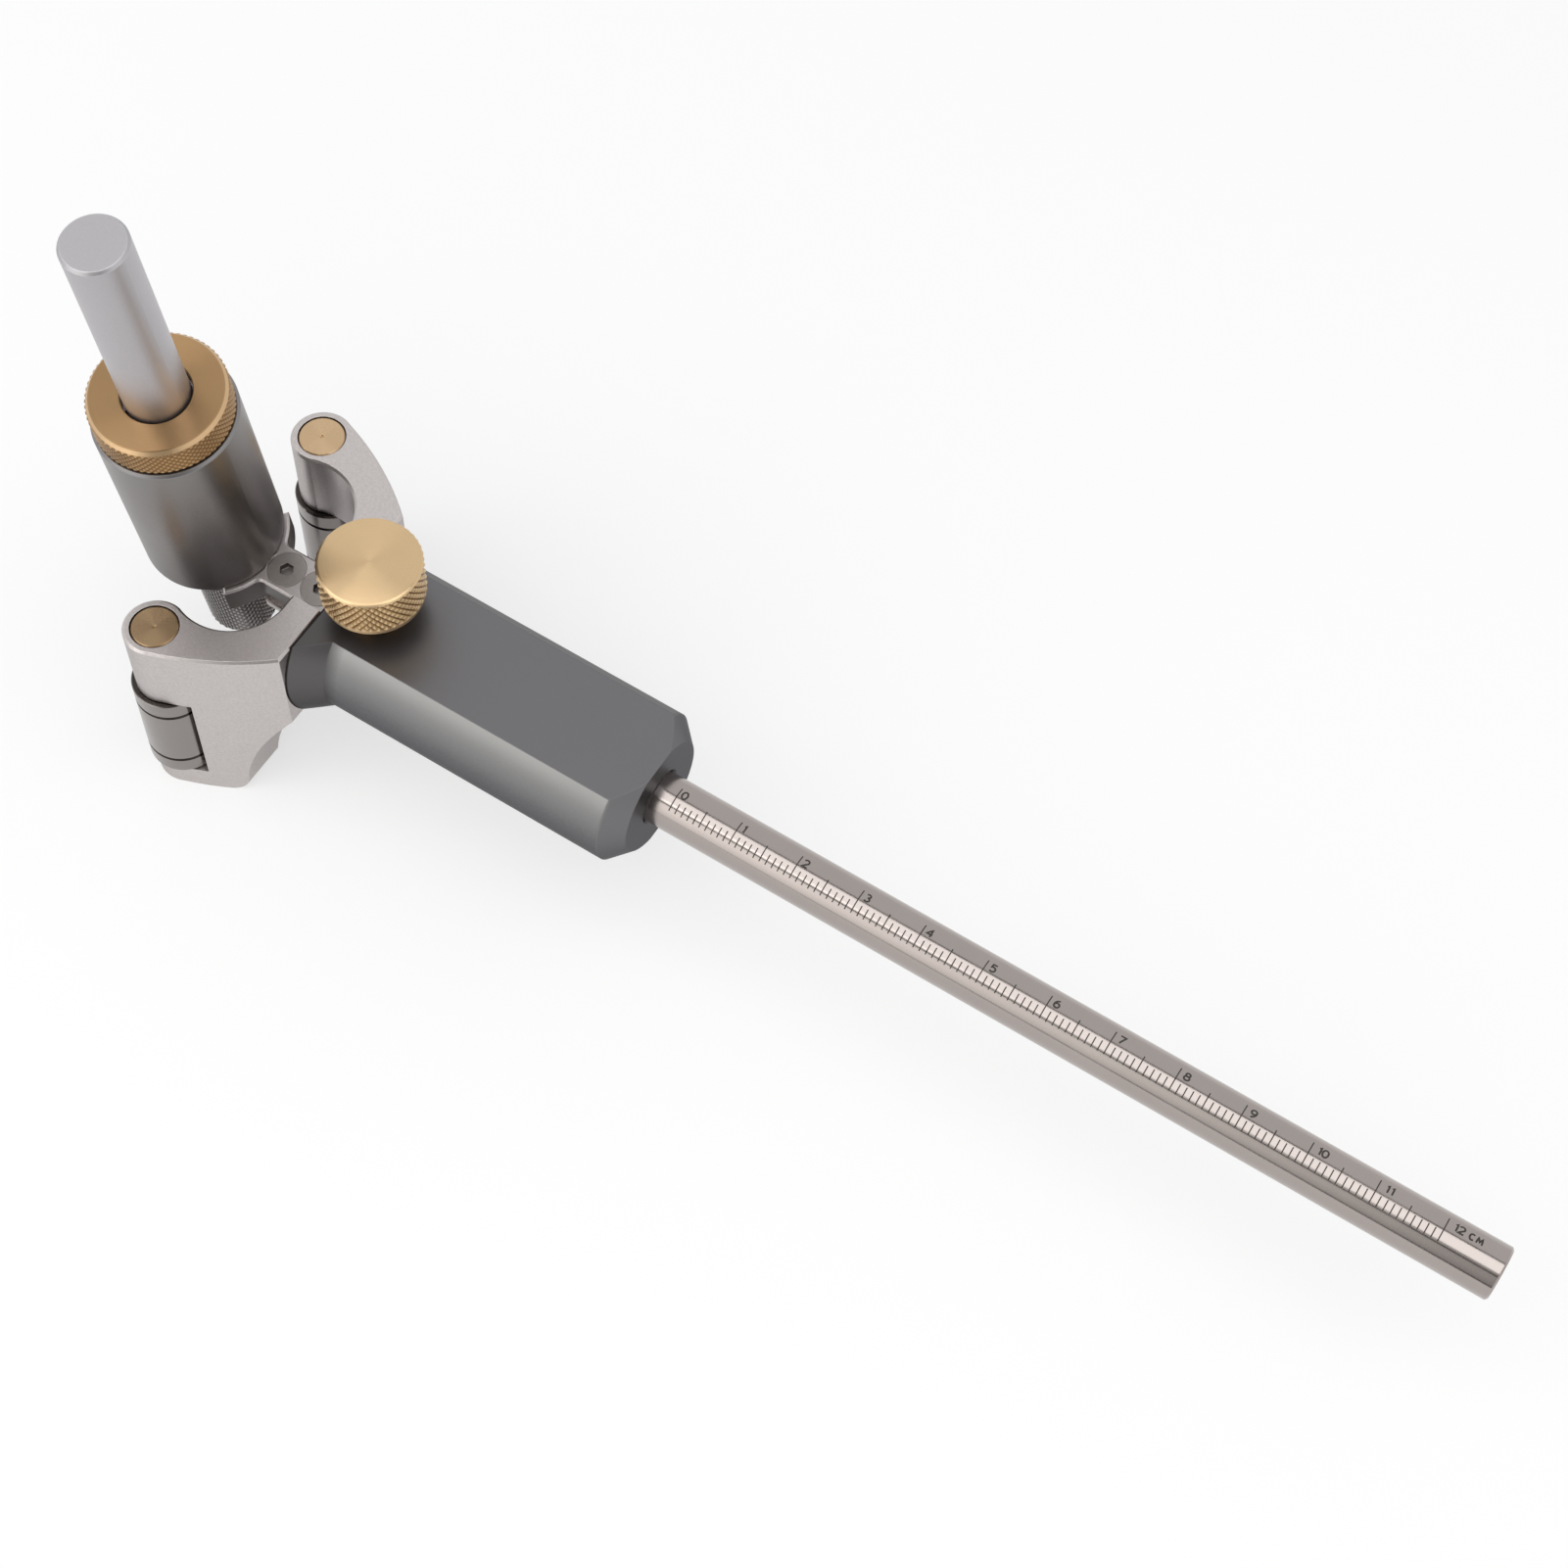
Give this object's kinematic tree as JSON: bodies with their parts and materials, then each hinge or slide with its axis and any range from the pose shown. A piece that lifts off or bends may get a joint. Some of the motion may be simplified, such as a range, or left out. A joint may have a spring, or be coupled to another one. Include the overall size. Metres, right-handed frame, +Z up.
{
  "type": "scribing ruler",
  "caption": "Adjustable scribing ruler: anodised handle with a roller fence, a sliding graduated rod with a thumb lock, and a clamped pencil in a tilted holder.",
  "frame": {"origin": "centre of the handle's lower flat", "axes": "+X along the rod towards its graduated free end, +Z up out of the lock knob, the pencil holder and the roller fence at -X"},
  "size_m": [0.2208, 0.0512, 0.1072],
  "materials": {
    "body": "fine bead blasted, dark grey anodised",
    "head": "satin blasted, bright bevels",
    "dark_steel": "black oxide steel",
    "pin_brass": "turned face",
    "ring_steel": "ground",
    "roller_steel": "polished",
    "ball_steel": "polished",
    "cage": "stamped",
    "knob_brass": "turned",
    "screw_steel": "plain",
    "rod_steel": "brushed stainless",
    "lug": "satin blasted, bright bevels",
    "tube": "fine bead blasted, dark grey anodised",
    "collar_brass": "turned",
    "barrel": "satin anodised",
    "chuck": "turned",
    "grip_steel": "knurled",
    "graphite": "dull"
  },
  "bodies": {
    "frame": {"body": "body", "fence_head": "head", "head_screws": "dark_steel", "left_axle": "pin_brass", "right_axle": "pin_brass", "left_inner_rings": "ring_steel", "right_inner_rings": "ring_steel", "left_spacer": "ring_steel", "right_spacer": "ring_steel"},
    "left_roller": {"left_sleeve": "roller_steel", "left_outer_rings": "roller_steel"},
    "right_roller": {"right_sleeve": "roller_steel", "right_outer_rings": "roller_steel"},
    "left_balls": {"left_ball_set": "ball_steel", "left_cages": "cage"},
    "right_balls": {"right_ball_set": "ball_steel", "right_cages": "cage"},
    "pad": {"clamp_pad": "knob_brass"},
    "knob": {"lock_knob": "knob_brass", "lock_screw": "screw_steel"},
    "rod": {"scale_rod": "rod_steel", "rod_lug": "lug", "lug_screws": "screw_steel", "holder_tube": "tube"},
    "collet": {"collet": "ring_steel"},
    "collar": {"clamp_collar": "collar_brass"},
    "pencil": {"pencil_barrel": "barrel", "lead_chuck": "chuck"},
    "grip": {"grip_nut": "grip_steel"},
    "lead": {"lead": "graphite"}
  },
  "joints": [
    {"name": "left_roller_spin", "type": "hinge", "parent": "frame", "child": "left_roller", "pos_m": [-0.0459, -0.0201, -0.0057], "axis": [0, 0, 1], "continuous": true},
    {"name": "right_roller_spin", "type": "hinge", "parent": "frame", "child": "right_roller", "pos_m": [-0.0459, 0.0201, -0.0057], "axis": [0, 0, 1], "continuous": true},
    {"name": "left_balls_spin", "type": "hinge", "parent": "frame", "child": "left_balls", "pos_m": [-0.0459, -0.0201, -0.0057], "axis": [0, 0, 1], "continuous": true},
    {"name": "right_balls_spin", "type": "hinge", "parent": "frame", "child": "right_balls", "pos_m": [-0.0459, 0.0201, -0.0057], "axis": [0, 0, 1], "continuous": true},
    {"name": "rod_slide", "type": "slide", "parent": "frame", "child": "rod", "axis": [-1, 0, 0], "range_m": [0, 0.12]},
    {"name": "pad_lift", "type": "slide", "parent": "frame", "child": "pad", "axis": [0, 0, 1], "range_m": [0, 0.0014]},
    {"name": "knob_turn", "type": "hinge", "parent": "pad", "child": "knob", "pos_m": [-0.0213, 0, 0.0288], "axis": [0, 0, 1], "range_deg": [0, 540]},
    {"name": "collet_lift", "type": "slide", "parent": "rod", "child": "collet", "axis": [0, -0.1149, 0.9934], "range_m": [0, 0.00085]},
    {"name": "collar_turn", "type": "hinge", "parent": "collet", "child": "collar", "pos_m": [-0.0505, 0, 0.0085], "axis": [0, -0.1149, 0.9934], "range_deg": [0, 360]},
    {"name": "pencil_slide", "type": "slide", "parent": "rod", "child": "pencil", "axis": [0, -0.1149, 0.9934], "range_m": [-0.03, 0.024]},
    {"name": "grip_turn", "type": "hinge", "parent": "pencil", "child": "grip", "pos_m": [-0.0505, 0, 0.0085], "axis": [0, -0.1149, 0.9934], "range_deg": [-180, 180]},
    {"name": "lead_slide", "type": "slide", "parent": "pencil", "child": "lead", "axis": [0, 0.1149, -0.9934], "range_m": [-0.002, 0.012]}
  ],
  "couplings": [
    {"joint": "left_balls_spin", "follows": "left_roller_spin", "ratio": 0.6},
    {"joint": "right_balls_spin", "follows": "right_roller_spin", "ratio": 0.6},
    {"joint": "pad_lift", "follows": "knob_turn", "m_per_rad": 0.00012732},
    {"joint": "collet_lift", "follows": "collar_turn", "m_per_rad": 0.00011937}
  ]
}
